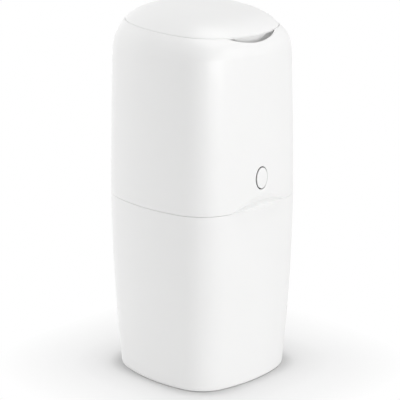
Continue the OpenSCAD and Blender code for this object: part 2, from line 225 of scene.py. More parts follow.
# drawn steel: a noise stretched along X draws the fine lines in colour, gloss and height
def drawnSteel(name):
    s = Shader(bpy.data.materials.new(name))
    lines = s.noise(s.place((40, 2600, 2600)), 1.0, 3.0)
    cloud = s.noise(s.place(), 120.0, 2.0)
    return s.close({
        "Base Color": s.tint(lines * 0.6 + cloud * 0.4, (0.50, 0.51, 0.52), (0.72, 0.73, 0.74)),
        "Metallic": 1.0,
        "Roughness": 0.24 + lines * 0.16,
        "Normal": s.bump(lines, 0.15, 0.0001),
    })


# pleated film: a noise pressed flat along Z draws the folds from milky to pale, and a finer
# noise sets the gloss and lifts the wrinkles
def pleatedFilm(name):
    s = Shader(bpy.data.materials.new(name))
    folds = s.noise(s.place((1, 1, 30)), 60.0, 3.0)
    wrinkle = s.noise(s.place(), 220.0, 4.0, 0.6)
    return s.close({
        "Base Color": s.tint(folds, (0.66, 0.74, 0.79), (0.86, 0.90, 0.92)),
        "Roughness": 0.22 + wrinkle * 0.2,
        "Normal": s.bump(wrinkle, 0.4, 0.0006),
    })


finish = {
    "white_shell": mouldedPlastic("whiteShell", (0.885, 0.885, 0.880), (0.905, 0.905, 0.902),
                                  0.36, 0.10, 0.05),
    "inner_shell": mouldedPlastic("innerShell", (0.74, 0.74, 0.73), (0.79, 0.79, 0.785), 0.50, 0.25),
    "jaw_plastic": mouldedPlastic("jawPlastic", (0.62, 0.64, 0.655), (0.68, 0.70, 0.71), 0.46, 0.25),
    "grey_plastic": mouldedPlastic("greyPlastic", (0.44, 0.45, 0.46), (0.50, 0.51, 0.52), 0.48, 0.3),
    "dark_plastic": mouldedPlastic("darkPlastic", (0.03, 0.03, 0.032), (0.05, 0.05, 0.052), 0.55, 0.3),
    "film": pleatedFilm("pleatedFilm"),
    "rubber": softRubber("softRubber"),
    "steel": drawnSteel("drawnSteel"),
}
print("finishes made")


# half-width of the wall at height z: a power curve from the seam down, another from it up
def wallHalf(z):
    down = 1 - form["baseTaper"] * np.clip(1 - z / form["seamZ"], 0, 1) ** form["basePower"]
    span = form["shoulderZ"] - form["seamZ"]
    up = 1 - form["topTaper"] * np.clip((z - form["seamZ"]) / span, 0, 1) ** form["topPower"]
    return form["half"] * np.where(z < form["seamZ"], down, up)


# height of the crown at half-width h, before the tilt: a superellipse quarter
def crownZ(h):
    reach = np.clip(h / form["crownHalf"], 0, 1) ** form["planPower"]
    return form["shoulderZ"] + form["crownRise"] * (1 - reach) ** (1 / form["risePower"])


# share of the way from the wall in to the lid line
def lidShare(h):
    return np.clip((form["crownHalf"] - h) / (form["crownHalf"] - form["lidHalf"]), 0, 1)


# plan outline: u runs once round a bowed square with round corners, four wide arcs and four
# tight ones that meet in one tangent; all radii shrink by the inset
def planOutline(u, h, share, inset=0.0):
    sideR = h * (form["sideShare"] + (form["lidSideShare"] - form["sideShare"]) * share) - inset
    cornerR = h * (form["cornerShare"] + (form["lidCornerShare"] - form["cornerShare"]) * share) - inset
    p = sideR - (h - inset)
    c = (-2 * p + np.sqrt(4 * p * p - 8 * (p * p - (sideR - cornerR) ** 2))) / 4
    turn = np.arctan2(c, c + p)
    quarter = np.floor(u * 4)
    f = u * 4 - quarter
    sidePart = 0.6
    onSide = f < sidePart
    a = np.where(onSide, turn * (2 * f / sidePart - 1),
                 turn + (math.pi / 2 - 2 * turn) * (f - sidePart) / (1 - sidePart))
    x = np.where(onSide, sideR * np.cos(a) - p, c + cornerR * np.cos(a))
    y = np.where(onSide, sideR * np.sin(a), c + cornerR * np.sin(a))
    ca, sa = np.cos(quarter * math.pi / 2), np.sin(quarter * math.pi / 2)
    return x * ca - y * sa, x * sa + y * ca


# smooth step from 0 to 1: three squares less two cubes
def smooth(t):
    t = np.clip(t, 0, 1)
    return t * t * (3 - 2 * t)


lip = {"halfWidth": 56 * mm, "reach": 6 * mm, "stripHigh": 6.4 * mm, "fall": 2.6 * mm,
       "hollow": 3.5 * mm, "fade": 10.5 * mm, "least": 0.06,
       "spare": 0.8 * mm, "plainTo": 3.4 * mm}  # the inside follows the hollow less spare, above plainTo


# share of the lip's height that is left at x: a parabola with a least value
def leaf(x):
    return np.maximum(lip["least"], 1 - (x / lip["halfWidth"]) ** 2)


# how far the front wall stands out at x, t above the seam: a flat strip, then a smooth fall
# into a hollow that fades out higher up
def lipOffset(x, t):
    ends = np.abs(x / lip["halfWidth"])
    fall = smooth((t - lip["stripHigh"]) / lip["fall"])
    fade = smooth((t - lip["stripHigh"] - lip["fall"]) / lip["fade"])
    strip = lip["reach"] * np.clip(1 - ends ** 4, 0, 1) * (1 - fall)
    return strip - lip["hollow"] * np.clip(1 - ends ** 2, 0, 1) * fall * (1 - fade)


# places round the outline at which every ring of the shells has its points
ringPlaces = np.arange(300) / 300


# ring of the wall's outline with half-width h at height z
def plainRing(h, z, inset=0.0):
    x, y = planOutline(ringPlaces, h, 0.0, inset)
    return np.stack([x, y, z + 0 * x], -1)


# the same ring with the wall's own half-width at that height
def wallRing(z, inset=0.0):
    return plainRing(wallHalf(z), z, inset)


# ring along the lip, t above the seam in the middle of the front and lower towards the lip's
# ends; on the inside of the wall it only follows the hollow
def lipRing(t, inset=0.0):
    x, y = planOutline(ringPlaces, form["half"], 0.0, inset)
    high = t * leaf(np.where(y < 0, x, lip["halfWidth"]))
    z = form["seamZ"] + form["seamGap"] + high
    x, y = planOutline(ringPlaces, wallHalf(z), 0.0, inset)
    out = lipOffset(x, t)
    if inset:
        out = -np.maximum(0, -out - lip["spare"]) * smooth((high - lip["plainTo"]) / (2 * mm))
    return np.stack([x, y - np.where(y < 0, out, 0), z], -1)


scoop = {"halfWidth": 49 * mm, "rimHalf": 109.5 * mm, "z": 496.5 * mm}


# ring near the lid that changes from h0 and z0 to h1 and z1 in the middle of the front along
# a bump; each point is tilted with its share of the way in; without heights it stays on the
# crown's surface
def scoopRing(h0, z0, h1, z1, power=2):
    x0, y0 = planOutline(ringPlaces, h0, lidShare(h0))
    bump = (y0 < 0) * np.clip(1 - np.abs(x0 / scoop["halfWidth"]) ** power, 0, 1) ** 0.8
    h = h0 + (h1 - h0) * bump
    z = crownZ(h) if z0 is None else z0 + (z1 - z0) * bump
    share = lidShare(h)
    x, y = planOutline(ringPlaces, h, share)
    return np.stack([x, y, z + share * y * math.tan(form["lidTilt"])], -1)


# ring of half-width h at height z all round, before the tilt
def tiltedRing(h, z):
    return scoopRing(h, z, h, z)


# ring of half-width h on the crown's surface, or a drop below it
def crownRing(h, drop=0.0):
    return tiltedRing(h, crownZ(h) - drop)


# height for a ring at half-width h whose front point has to lie at height z
def frontZ(h, z):
    return z + lidShare(h) * h * math.tan(form["lidTilt"])


# rows of points with round corners: at each row with a radius the path is a quadratic curve
# that leaves and meets its neighbours at that distance, column by column
def roundCorners(keys, looped=False, steps=5):
    rows = [row for row, radius in keys]
    made = []
    for i, (here, radius) in enumerate(keys):
        if radius == 0 or (not looped and i in (0, len(rows) - 1)):
            made.append(here)
            continue
        ends = []
        for other in (rows[i - 1], rows[(i + 1) % len(rows)]):
            gap = np.linalg.norm(other - here, axis=-1, keepdims=True)
            ends.append(here + (other - here) * np.minimum(radius / np.maximum(gap, 1e-9), 0.45))
        for t in np.linspace(0, 1, steps):
            made.append((1 - t) ** 2 * ends[0] + 2 * t * (1 - t) * here + t ** 2 * ends[1])
    return np.stack(made)


# closed flat outline with round corners, by the same quadratic curves, always anticlockwise
def softOutline(corners, reach, steps=4):
    c = np.array(corners, float)
    x, y = c[:, 0], c[:, 1]
    if np.sum(x * np.roll(y, -1) - y * np.roll(x, -1)) < 0:
        c = c[::-1]
    return roundCorners([(point[None, :], reach) for point in c], True, steps)[:, 0]


# grid of points to quads: rows by columns, the columns always closed; the rows close too
# when looped, and otherwise each end is capped by one flat face
def gridFaces(rowCount, columnCount, offset, looped):
    last = rowCount if looped else rowCount - 1
    k, i = np.meshgrid(np.arange(last), np.arange(columnCount), indexing="ij")
    j, up = (i + 1) % columnCount, (k + 1) % rowCount
    quads = np.stack([k * columnCount + i, k * columnCount + j,
                      up * columnCount + j, up * columnCount + i], -1).reshape(-1, 4) + offset
    faces = quads.tolist()
    if not looped:
        ring = np.arange(columnCount)
        faces.append((ring[::-1] + offset).tolist())
        faces.append((ring + offset + (rowCount - 1) * columnCount).tolist())
    return faces


# smooth shading with sharp edges where two faces meet at more than an angle
def shade(mesh, sharp):
    mesh.shade_smooth()
    mesh.set_sharp_from_angle(angle=math.radians(sharp))


# mesh object from one or more grids, each a (points, looped) pair
def gridObject(name, grids, sharp=40):
    points, faces, offset = [], [], 0
    for grid, looped in grids:
        faces += gridFaces(grid.shape[0], grid.shape[1], offset, looped)
        points.append(grid.reshape(-1, 3))
        offset += grid.shape[0] * grid.shape[1]
    mesh = bpy.data.meshes.new(name)
    mesh.from_pydata(np.concatenate(points).tolist(), [], faces)
    mesh.update()
    shade(mesh, sharp)
    return newObject(name, mesh)


# piece with its finish and its body, in place of a CAD node if one is named
def makePiece(name, grids, slot, replaced=(), body="upper_housing", sharp=40):
    obj = gridObject(name, grids, sharp)
    obj.data.materials.append(finish[slot])
    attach(obj, body)
    if replaced:
        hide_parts(*replaced)
    return obj


# three directions with the last one given: the first two span the plane across it
def frameAlong(way):
    way = np.array(way, float)
    side = np.roll(way, 1)
    return np.array([side, np.cross(way, side), way])


# surface of revolution: each point of a profile, a radius and a place along the way, turned
def turnedGrid(centre, way, profile, turns):
    a = np.arange(turns) / turns * 2 * math.pi
    r, w = np.array(profile, float).T[:, :, None]
    local = np.stack([r * np.cos(a), r * np.sin(a), w + 0 * a], -1)
    return local @ frameAlong(way) + np.array(centre, float)


# bar along an axis: a flat outline in the next two axes, drawn in by a quarter circle at both
# ends so that its edges are round; extra rows in between let it be bent afterwards
def barGrid(axis, outline, start, end, edge=0.5 * mm, steps=4, extra=0):
    o = np.array(outline, float)
    step = np.roll(o, -1, 0) - np.roll(o, 1, 0)
    inward = np.stack([-step[:, 1], step[:, 0]], -1)
    inward /= np.linalg.norm(inward, axis=1, keepdims=True)
    a = np.linspace(0, math.pi / 2, steps)
    inset = edge * (1 - np.sin(a))
    place = start + edge * (1 - np.cos(a))
    between = np.linspace(place[-1], start + end - place[-1], extra + 2)[1:-1]
    inset = np.concatenate([inset, 0 * between, inset[::-1]])
    place = np.concatenate([place, between, start + end - place[::-1]])
    flat = o[None] + inward[None] * inset[:, None, None]
    grid = np.zeros((len(place), len(o), 3))
    grid[:, :, axis] = place[:, None]
    grid[:, :, (axis + 1) % 3] = flat[:, :, 0]
    grid[:, :, (axis + 2) % 3] = flat[:, :, 1]
    return grid


# round rod along a way, with small round edges at its ends
def rodGrid(centre, way, radius, length, edge=0.3 * mm, turns=32):
    a = np.linspace(0, math.pi / 2, 4)
    r = radius - edge * (1 - np.sin(a))
    w = edge * (1 - np.cos(a))
    profile = [(1e-5, 0)] + list(zip(r, w)) + list(zip(r[::-1], length - w[::-1])) + [(1e-5, length)]
    return turnedGrid(centre, way, profile, turns)


pinPlay = 0.05 * mm


# sleeve on a pin, as the turned outline of its wall
def sleeveGrid(centre, way, pin, outer, length, edge=0.3 * mm, turns=40):
    inner = pin + pinPlay
    corners = [(inner, 0), (outer, 0), (outer, length), (inner, length)]
    return turnedGrid(centre, way, softOutline(corners, edge), turns)


# four corners between two places in one direction and two in the other
def fourCorners(y0, y1, z0, z1):
    return [(y0, z0), (y1, z0), (y1, z1), (y0, z1)]


# coil: a round wire along a helix whose pitch closes at both ends
def coilGrid(centre, way, radius, wire, count, length, steps=26):
    t = np.linspace(0, 1, int(count * steps))
    rise = wire + (length - 2 * wire) * (0.35 * t + 0.65 * smooth(t))
    a = t * count * 2 * math.pi
    b = np.arange(10) / 10 * 2 * math.pi
    r = radius + wire * np.cos(b)[None, :]
    w = rise[:, None] + wire * np.sin(b)[None, :]
    local = np.stack([r * np.cos(a)[:, None], r * np.sin(a)[:, None], w], -1)
    return local[:, ::-1] @ frameAlong(way) + np.array(centre, float)


# screw: a pan head with a cross sunk into it and a plain shank; the head is a dome over
# radius and turn, less the cross where the point lies in either of its two bars
def screwGrid(centre, way, headR, headHigh, shankR, shank, turns=48):
    a = np.arange(turns) / turns * 2 * math.pi
    r = headR * np.array([1, 1, 0.97, 0.9, 0.75, 0.6, 0.5, 0.42, 0.34, 0.27, 0.2, 0.14, 0.07, 0.01])
    w = headHigh * np.array([0, 0.45, 0.68, 0.84, 0.95, 0.99, 1, 1, 1, 1, 1, 1, 1, 1])
    r = np.concatenate([[0.01 * mm, shankR * 0.7, shankR, shankR], r])[:, None]
    w = np.concatenate([[-shank, -shank, -shank + 0.6 * mm, 0], w])[:, None]
    x, y = r * np.cos(a), r * np.sin(a)
    near, far = np.minimum(np.abs(x), np.abs(y)), np.maximum(np.abs(x), np.abs(y))
    cross = smooth((0.16 * headR - near) / (0.06 * headR)) * smooth((0.6 * headR - far) / (0.1 * headR))
    w = w - np.where(w > headHigh * 0.9, cross * headHigh * 0.55, 0)
    return np.stack([x, y, w], -1) @ frameAlong(way) + np.array(centre, float)


binShell = {"footGap": 0.6 * mm, "footHigh": 8 * mm, "footIn": 3.5 * mm, "edge": 0.7 * mm, "floorZ": 6 * mm,
            "spigotRise": 3 * mm, "spigotRoot": 8 * mm, "spigotGap": 0.8 * mm, "spigotWall": 2.4 * mm,
            "knuckle": (54 * mm, 4 * mm)}  # a knuckle's place and half-length

bodyHinge = {"y": form["half"] + 1.4 * mm, "z": form["seamZ"], "radius": 4.6 * mm, "pin": 2.2 * mm,
             "pinGap": 41 * mm, "webFrom": 1 * mm, "webTo": 5.4 * mm, "sink": 1.6 * mm}


# hinge knuckle: a sleeve along X, and the web of a given outline that joins it to its wall
def knuckleGrids(middle, halfLength, hinge, web):
    sleeve = sleeveGrid((middle - halfLength, hinge["y"], hinge["z"]), (1, 0, 0), hinge["pin"],
                        hinge["radius"], 2 * halfLength, 0.5 * mm)
    webHalf = halfLength - 0.2 * mm
    bar = barGrid(0, softOutline(web, 0.5 * mm), middle - webHalf, middle + webHalf)
    return [(sleeve, True), (bar, False)]


# where a knuckle's web starts, just inside the rear wall at x; the wall is taken as a parabola
def webStartY(x):
    return form["half"] - x * x / (2 * form["half"] * form["sideShare"]) - bodyHinge["sink"]


# lower bin: elliptical rounding at the foot, tapering wall, round rim, spigot inside it, and
# the same back down the inside to a floor with a wide fillet
def makeLowerBin(s):
    wall, seam = form["wall"], form["seamZ"]
    footTop = s["footGap"] + s["footHigh"]
    keys = [(plainRing(wallHalf(footTop), s["footGap"] + s["footHigh"] * (1 - math.cos(a)),
                       s["footIn"] * (1 - math.sin(a))), 0) for a in np.linspace(0, math.pi / 2, 14)]
    keys += [(wallRing(z), 0) for z in np.linspace(footTop + 2 * mm, seam - 3 * mm, 64)]
    rim = seam - form["seamGap"]
    spigotOut, spigotIn = wall + s["spigotGap"], wall + s["spigotGap"] + s["spigotWall"]
    keys += [
        (plainRing(form["half"], rim), s["edge"]),
        (plainRing(form["half"], rim, spigotOut), 0.3 * mm),
        (plainRing(form["half"], seam + s["spigotRise"], spigotOut), 0.6 * mm),
        (plainRing(form["half"], seam + s["spigotRise"], spigotIn), 0.6 * mm),
        (plainRing(form["half"], seam - s["spigotRoot"], spigotIn), 0.8 * mm),
    ]
    keys += [(wallRing(z, wall), 0)
             for z in np.linspace(seam - s["spigotRoot"] - 2 * mm, s["floorZ"] + 14 * mm, 30)]
    keys += [
        (wallRing(s["floorZ"] + 3 * mm, wall + 2 * mm), 2 * mm),
        (wallRing(s["floorZ"], wall + 8 * mm), 3 * mm),
        (wallRing(s["floorZ"], wall + 20 * mm), 0),
    ]
    grids = [(roundCorners(keys), False)]
    middle, halfLength = s["knuckle"]
    for x in (-middle, middle):
        grids += knuckleGrids(x, halfLength, bodyHinge, fourCorners(
            webStartY(x), bodyHinge["y"], seam - bodyHinge["webTo"], seam - bodyHinge["webFrom"]))
    makePiece("lower_bin_shell", grids, "white_shell", ["lower_bin"], body="lower_bin")


makeLowerBin(binShell)
print("lower bin made")

feet = {"at": 72 * mm, "radius": 9 * mm, "high": 3 * mm, "deep": 0.7 * mm, "edge": 0.3 * mm}


# foot pad: turned profile with a round edge and a shallow hollow in its underside
def makeFeet(s):
    r, h, deep, edge = s["radius"], s["high"], s["deep"], s["edge"]
    profile = [(1e-5, deep), (r * 0.42, deep), (r * 0.46, 0.15 * mm), (r * 0.5, 0), (r * 0.9, 0),
               (r * 0.97, 0.2 * mm), (r, deep), (r, h - edge), (r - edge, h), (1e-5, h)]
    grids = [(turnedGrid((x, y, 0), (0, 0, 1), profile, 56), False)
             for x in (-s["at"], s["at"]) for y in (-s["at"], s["at"])]
    makePiece("foot_pads", grids, "rubber", ["rubber_feet"], body="lower_bin")


makeFeet(feet)


# low and high corner of a CAD node as arrays
def spanOf(node):
    low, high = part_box(node)
    return np.array(low), np.array(high)


# a screw's shape is its head's radius and height, then its shank's radius and length
keeper = {"plate": 3 * mm, "rib": 1.6 * mm, "ribIn": 0.8 * mm, "ribHigh": 5 * mm, "ribDeep": 4 * mm,
          "sink": 0.2 * mm, "screwX": 6 * mm, "screwDrop": 17 * mm,
          "screw": (3.4 * mm, 2.2 * mm, 1.8 * mm, 5.4 * mm)}


# keeper: an upright plate with a shelf along its top, and two ribs under the shelf
def makeKeeper(s):
    low, high = spanOf("latch_keeper")
    face, shelf = low[1] + s["plate"], high[2] - s["plate"]
    section = [(low[1], low[2]), (face, low[2]), (face, shelf), (high[1], shelf), (high[1], high[2]),
               (low[1], high[2])]
    grids = [(barGrid(0, softOutline(section, 0.6 * mm), low[0], high[0]), False)]
    back, top = face - s["sink"], shelf + s["sink"]
    rib = [(back, top), (back, shelf - s["ribHigh"]), (face + s["ribDeep"], top)]
    for x in (low[0] + s["ribIn"], high[0] - s["ribIn"] - s["rib"]):
        grids.append((barGrid(0, softOutline(rib, 0.4 * mm), x, x + s["rib"], 0.3 * mm), False))
    makePiece("latch_keeper_plate", grids, "grey_plastic", ["latch_keeper"], body="lower_bin")
    screws = [(screwGrid((x, face, high[2] - s["screwDrop"]), (0, 1, 0), *s["screw"]), False)
              for x in (-s["screwX"], s["screwX"])]
    makePiece("keeper_screw_pair", screws, "steel", ["keeper_screws"], body="lower_bin")


makeKeeper(keeper)


# pins: rods between the ends of their CAD nodes, two to a node where a gap is given
def makePins(name, node, radius, gap=0.0, body="upper_housing"):
    low, high = spanOf(node)
    y, z = (low[1] + high[1]) / 2, (low[2] + high[2]) / 2
    runs = [(low[0], -gap), (gap, high[0])] if gap else [(low[0], high[0])]
    grids = [(rodGrid((a, y, z), (1, 0, 0), radius, b - a, 0.4 * mm), False) for a, b in runs]
    makePiece(name, grids, "steel", [node], body=body)


makePins("body_hinge_rods", "body_hinge_pins", bodyHinge["pin"], bodyHinge["pinGap"], "lower_bin")
print("feet, keeper and pins made")

housing = {
    "edge": 0.9 * mm, "ledgeDrop": 3.4 * mm, "wellHalf": 86 * mm,
    "wallFrom": 294 * mm,  # plain wall above the lip's hollow
    "creaseShares": (0.35, 0.7, 0.9, 0.96, 1.0),
    "ledgeFront": 91.8 * mm, "underLedge": 99.2 * mm, "underFront": 89.2 * mm,
    "shoulderIn": 110.2 * mm, "shoulderDrop": 27 * mm, "crownFoot": 484 * mm, "pocketWall": 2.6 * mm,
    # walls of the scoop's pocket, in mm: back from the rim and down from the lid line, then the
    # front's half-width and rise, the power of the bump and the corner's radius
    "pocket": [(0.1, 0.8, 107.9, 4.2, 2, 0), (0.1, 1.4, 106, 0.8, 2, 2.0), (0.2, 2, 101.5, 0, 4, 4.0),
               (0.2, 2.5, 93, 0.8, 4, 2.0), (0.3, 2.9, 92, 3.9, 4, 1.5)],
    # underside of the pocket: half-width and drop at the sides, then half-width and rise in front,
    # power and radius as above
    "under": [(101.8, 9.6, 89.7, 2, 4, 0), (104.5, 14.6, 92, 0, 4, 1), (107.5, 19.6, 106, 0, 2, 1)],
    "knuckles": (46.4 * mm, 61.8 * mm), "knuckleHalf": 3.2 * mm,
    "lugHalf": 2.8 * mm, "lugDeep": 15 * mm, "lugThick": 1.9 * mm,
    "bossAt": 70.5 * mm, "bossFrom": 493 * mm, "bossRadius": 4.5 * mm, "bossSink": 1 * mm,
}
lineZ = float(crownZ(form["lidHalf"]))
ledgeZ = lineZ - housing["ledgeDrop"]
lidHinge = {"y": form["lidHalf"] + 2 * mm, "radius": 2.8 * mm, "pin": 1.2 * mm, "pinGap": 8 * mm,
            "half": 17 * mm, "gap": 0.4 * mm}
lidHinge["z"] = lineZ + lidHinge["y"] * math.tan(form["lidTilt"]) + 0.2 * mm
lidSlot = {"from": 97 * mm, "above": 8 * mm, "below": 2.4 * mm, "gap": 0.5 * mm}
button = {"z": 313 * mm, "width": 21 * mm, "height": 30.4 * mm, "proud": 1.5 * mm, "crown": 0.9 * mm,
          "gap": 1.7 * mm, "turns": 96, "capBack": -118.4 * mm, "flangeY": -113.5 * mm,
          "flangeWider": 6 * mm, "flangeThick": 2 * mm, "stem": 5 * mm, "stemEnd": -98.6 * mm}


# cutter for the button's hole: ovals one behind the other, the first of them wider by a round
# edge that follows the wall; and for the lid's knuckle: a round slot through the rear rim
def housingCutter(hole, slot):
    angle = np.linspace(0, 2 * math.pi, 120, endpoint=False)
    rows = []
    for wider, back in [(0.5, -4)] + [(0.5 * (1 - math.sin(a)), 0.5 * (1 - math.cos(a)))
                                      for a in np.linspace(0, math.pi / 2, 5)] + [(0, 9)]:
        x = (hole["width"] / 2 + hole["gap"] + wider * mm) * np.cos(angle)
        z = hole["z"] + (hole["height"] / 2 + hole["gap"] + wider * mm) * np.sin(angle)
        h = wallHalf(z)
        y = (h * form["sideShare"] - h) - np.sqrt((h * form["sideShare"]) ** 2 - x * x)
        rows.append(np.stack([x, y + back * mm, z], -1))
    grids = [(np.stack(rows)[:, ::-1], False)]
    r, y, z = lidHinge["radius"] + slot["gap"], lidHinge["y"], lidHinge["z"]
    arc = np.linspace(-math.pi + math.asin(slot["below"] / r), 0, 16)
    outline = [(slot["from"], z + slot["above"]), (slot["from"], z - slot["below"])]
    outline += [(y + r * math.cos(a), z + r * math.sin(a)) for a in arc] + [(y + r, z + slot["above"])]
    reach = lidHinge["half"] + lidHinge["gap"]
    grids.append((barGrid(0, outline, -reach, reach, 0.01 * mm, 2), False))
    return gridObject("cutter", grids)


# a cutter's shape taken out of a piece for good
def cutAway(obj, cutter, sharp=40):
    cut = obj.modifiers.new("holes", "BOOLEAN")
    cut.object, cut.operation, cut.solver = cutter, "DIFFERENCE", "EXACT"
    bpy.context.view_layer.update()
    done = bpy.data.meshes.new_from_object(obj.evaluated_get(bpy.context.evaluated_depsgraph_get()))
    obj.modifiers.clear()
    obj.data = done
    shade(done, sharp)
    bpy.data.objects.remove(cutter)


# outside of the upper housing: from its lower edge up over the lip and the wall, over the
# shoulder into the rebate, and on the front down through the scoop
def housingOutside(s, rim):
    top = lip["stripHigh"] + lip["fall"]
    crease, crown = form["creaseHalf"], form["crownHalf"]
    keys = [(lipRing(0), s["edge"])]
    keys += [(lipRing(t), 0) for t in np.linspace(1.6 * mm, lip["stripHigh"] - 0.3 * mm, 6)]
    keys += [(lipRing(t), 0) for t in np.linspace(lip["stripHigh"], top, 13)]
    keys += [(lipRing(t), 0) for t in np.linspace(top + 0.5 * mm, top + lip["fade"], 20)]
    keys += [(wallRing(z), 0) for z in np.linspace(s["wallFrom"], form["shoulderZ"], 56)]
    for t in s["creaseShares"]:
        z = form["shoulderZ"] + (form["creaseZ"] - form["shoulderZ"]) * t
        keys.append((tiltedRing(crown + (crease - crown) * t, z), 0))
    for t in 1 - (1 - np.linspace(0, 1, 27)[1:]) ** 0.85:
        keys.append((scoopRing(crease + (rim - crease) * t, None,
                               crease + (scoop["rimHalf"] - crease) * t, None), s["edge"] if t == 1 else 0))
    for back, drop, h, rise, power, radius in s["pocket"]:
        keys.append((scoopRing(rim - back * mm, lineZ - drop * mm, h * mm,
                               frontZ(h * mm, scoop["z"] + rise * mm), power), radius * mm))
    return keys


# inside of the upper housing: in along the ledge, back under it and down the wall to the lip
def housingInside(s):
    wall, under = form["wall"], scoop["z"] - s["pocketWall"]
    keys = [
        (scoopRing(form["lidHalf"], ledgeZ, s["ledgeFront"], ledgeZ, 4), 0.6 * mm),
        (tiltedRing(s["wellHalf"], ledgeZ), s["edge"]),
        (tiltedRing(s["wellHalf"], ledgeZ - wall), s["edge"]),
        (scoopRing(s["underLedge"], ledgeZ - wall, s["underFront"], ledgeZ - wall, 4), 0.6 * mm),
    ]
    for h0, drop, h1, rise, power, radius in s["under"]:
        keys.append((scoopRing(h0 * mm, lineZ - drop * mm, h1 * mm,
                               frontZ(h1 * mm, under + rise * mm), power), radius * mm))
    keys += [
        (tiltedRing(s["shoulderIn"], lineZ - s["shoulderDrop"]), 0),
        (plainRing(form["crownHalf"] - 1 * mm, s["crownFoot"], wall), 0),
    ]
    keys += [(wallRing(z, wall), 0) for z in np.linspace(form["shoulderZ"], s["wallFrom"], 24)]
    hollowTop = lip["stripHigh"] + lip["fall"] + lip["fade"]
    keys += [(lipRing(t, wall), 0) for t in np.linspace(hollowTop, lip["plainTo"], 20)]
    keys.append((lipRing(0, wall), 0.5 * mm))
    return keys


# upper housing: the outside's rings and then the inside's, closed to a loop, less the cutter
def makeUpperHousing(s):
    keys = housingOutside(s, form["lidHalf"] + 0.3 * mm) + housingInside(s)
    shell = makePiece("upper_housing_shell", [(roundCorners(keys, looped=True), True)], "white_shell",
                      ["upper_housing"])
    cutAway(shell, housingCutter(button, lidSlot))


# knuckles of the body hinge, their webs cut out round the pin; lugs of the lid's hinge; and the
# bosses for the tray's screws
def makeHousingKnuckles(s):
    seam, y, grids = form["seamZ"], bodyHinge["y"], []
    low, high = seam + bodyHinge["webFrom"], seam + bodyHinge["webTo"]
    clearY, clearZ = y - bodyHinge["pin"] - 0.4 * mm, seam + bodyHinge["pin"] + 0.3 * mm
    for side in (-1, 1):
        for x in s["knuckles"]:
            back = webStartY(x)
            grids += knuckleGrids(side * x, s["knuckleHalf"], bodyHinge, [
                (back, low), (clearY, low), (clearY, clearZ), (y, clearZ), (y, high), (back, high)])
        lugWeb = fourCorners(lidHinge["y"] - s["lugThick"], lidHinge["y"],
                             lidHinge["z"] - s["lugDeep"], lidHinge["z"])
        grids += knuckleGrids(side * (lidHinge["half"] + lidHinge["gap"] + s["lugHalf"]), s["lugHalf"],
                              lidHinge, lugWeb)
        for way in (-1, 1):
            top = ledgeZ - form["wall"] + way * s["bossAt"] * math.tan(form["lidTilt"]) + s["bossSink"]
            grids.append((rodGrid((side * s["bossAt"], way * s["bossAt"], s["bossFrom"]), (0, 0, 1),
                                  s["bossRadius"], top - s["bossFrom"]), False))
    makePiece("upper_housing_knuckles", grids, "white_shell")


makeUpperHousing(housing)
makeHousingKnuckles(housing)
print("upper housing made")

lidShell = {"wall": 2.6 * mm, "rimDrop": 2.9 * mm, "rimIn": 98.6 * mm, "edge": 0.7 * mm,
            "domeHalf": 88 * mm, "seatHalf": 92 * mm, "webFrom": 98 * mm,
            "tabHalf": 32 * mm, "tabZ": 504 * mm, "tabBack": 4.2 * mm, "tabWall": 2.4 * mm,
            "tabDrop": 3.6 * mm, "tabRise": 8.5 * mm}


# tab under the lid's front edge: a bar with round edges, its lower edge raised towards the ends
# by a parabola, and bent along the lid's outline
def tabGrid(s):
    h, top = form["lidHalf"] - s["tabBack"], lineZ - s["tabDrop"]
    section = fourCorners(-h, s["tabWall"] - h, s["tabZ"], top)
    grid = barGrid(0, softOutline(section, 0.8 * mm), -s["tabHalf"], s["tabHalf"], 0.8 * mm, 4, 20)
    rise = s["tabRise"] * (grid[:, :, 0] / s["tabHalf"]) ** 2 / (top - s["tabZ"])
    grid[:, :, 2] += (top - grid[:, :, 2]) * rise
    r = form["lidSideShare"] * -grid[:, :, 1]
    grid[:, :, 1] += r - np.sqrt(r * r - grid[:, :, 0] ** 2)
    return grid


# lid: the inside of the dome from its middle out, round the rim, and back over the outside;
# with the hinge's knuckle and its web
def makeLid(s):
    rim, edgeHalf = lineZ - s["rimDrop"], form["lidHalf"] - 0.3 * mm
    keys = [(crownRing(h, s["wall"] + 0.3 * mm), 0) for h in np.linspace(2 * mm, s["domeHalf"], 24)]
    keys += [
        (crownRing(s["seatHalf"], s["wall"] + 1 * mm), 0),
        (tiltedRing(s["rimIn"], rim), 0.7 * mm),
        (tiltedRing(edgeHalf, rim), s["edge"]),
        (crownRing(edgeHalf + 0.1 * mm), 0.8 * mm),
    ]
    keys += [(crownRing(h), 0) for h in form["lidHalf"] * (1 - np.linspace(0.05, 0.98, 60) ** 1.5)]
    grids = [(roundCorners(keys), False)]
    grids += knuckleGrids(0, lidHinge["half"], lidHinge, fourCorners(
        s["webFrom"], lidHinge["y"] - 1.6 * mm, lidHinge["z"] - 1.8 * mm, lidHinge["z"] + 1.6 * mm))
    grids.append((tabGrid(s), False))
    makePiece("lid_shell", grids, "white_shell", ["lid"], body="lid")


makeLid(lidShell)
makePins("lid_hinge_rods", "lid_hinge_pins", lidHinge["pin"], lidHinge["pinGap"])
print("lid made")


# rings of upright ovals, each a share of the button's size at a place along Y
def ovalGrid(s, rings, high):
    angle = np.arange(s["turns"]) / s["turns"] * 2 * math.pi
    t, y = np.array(rings, float).T[:, :, None]
    x, z = t * s["width"] / 2 * np.cos(angle), t * high / 2 * np.sin(angle)
    return np.stack([x, y + 0 * x, s["z"] + z], -1)[:, ::-1]


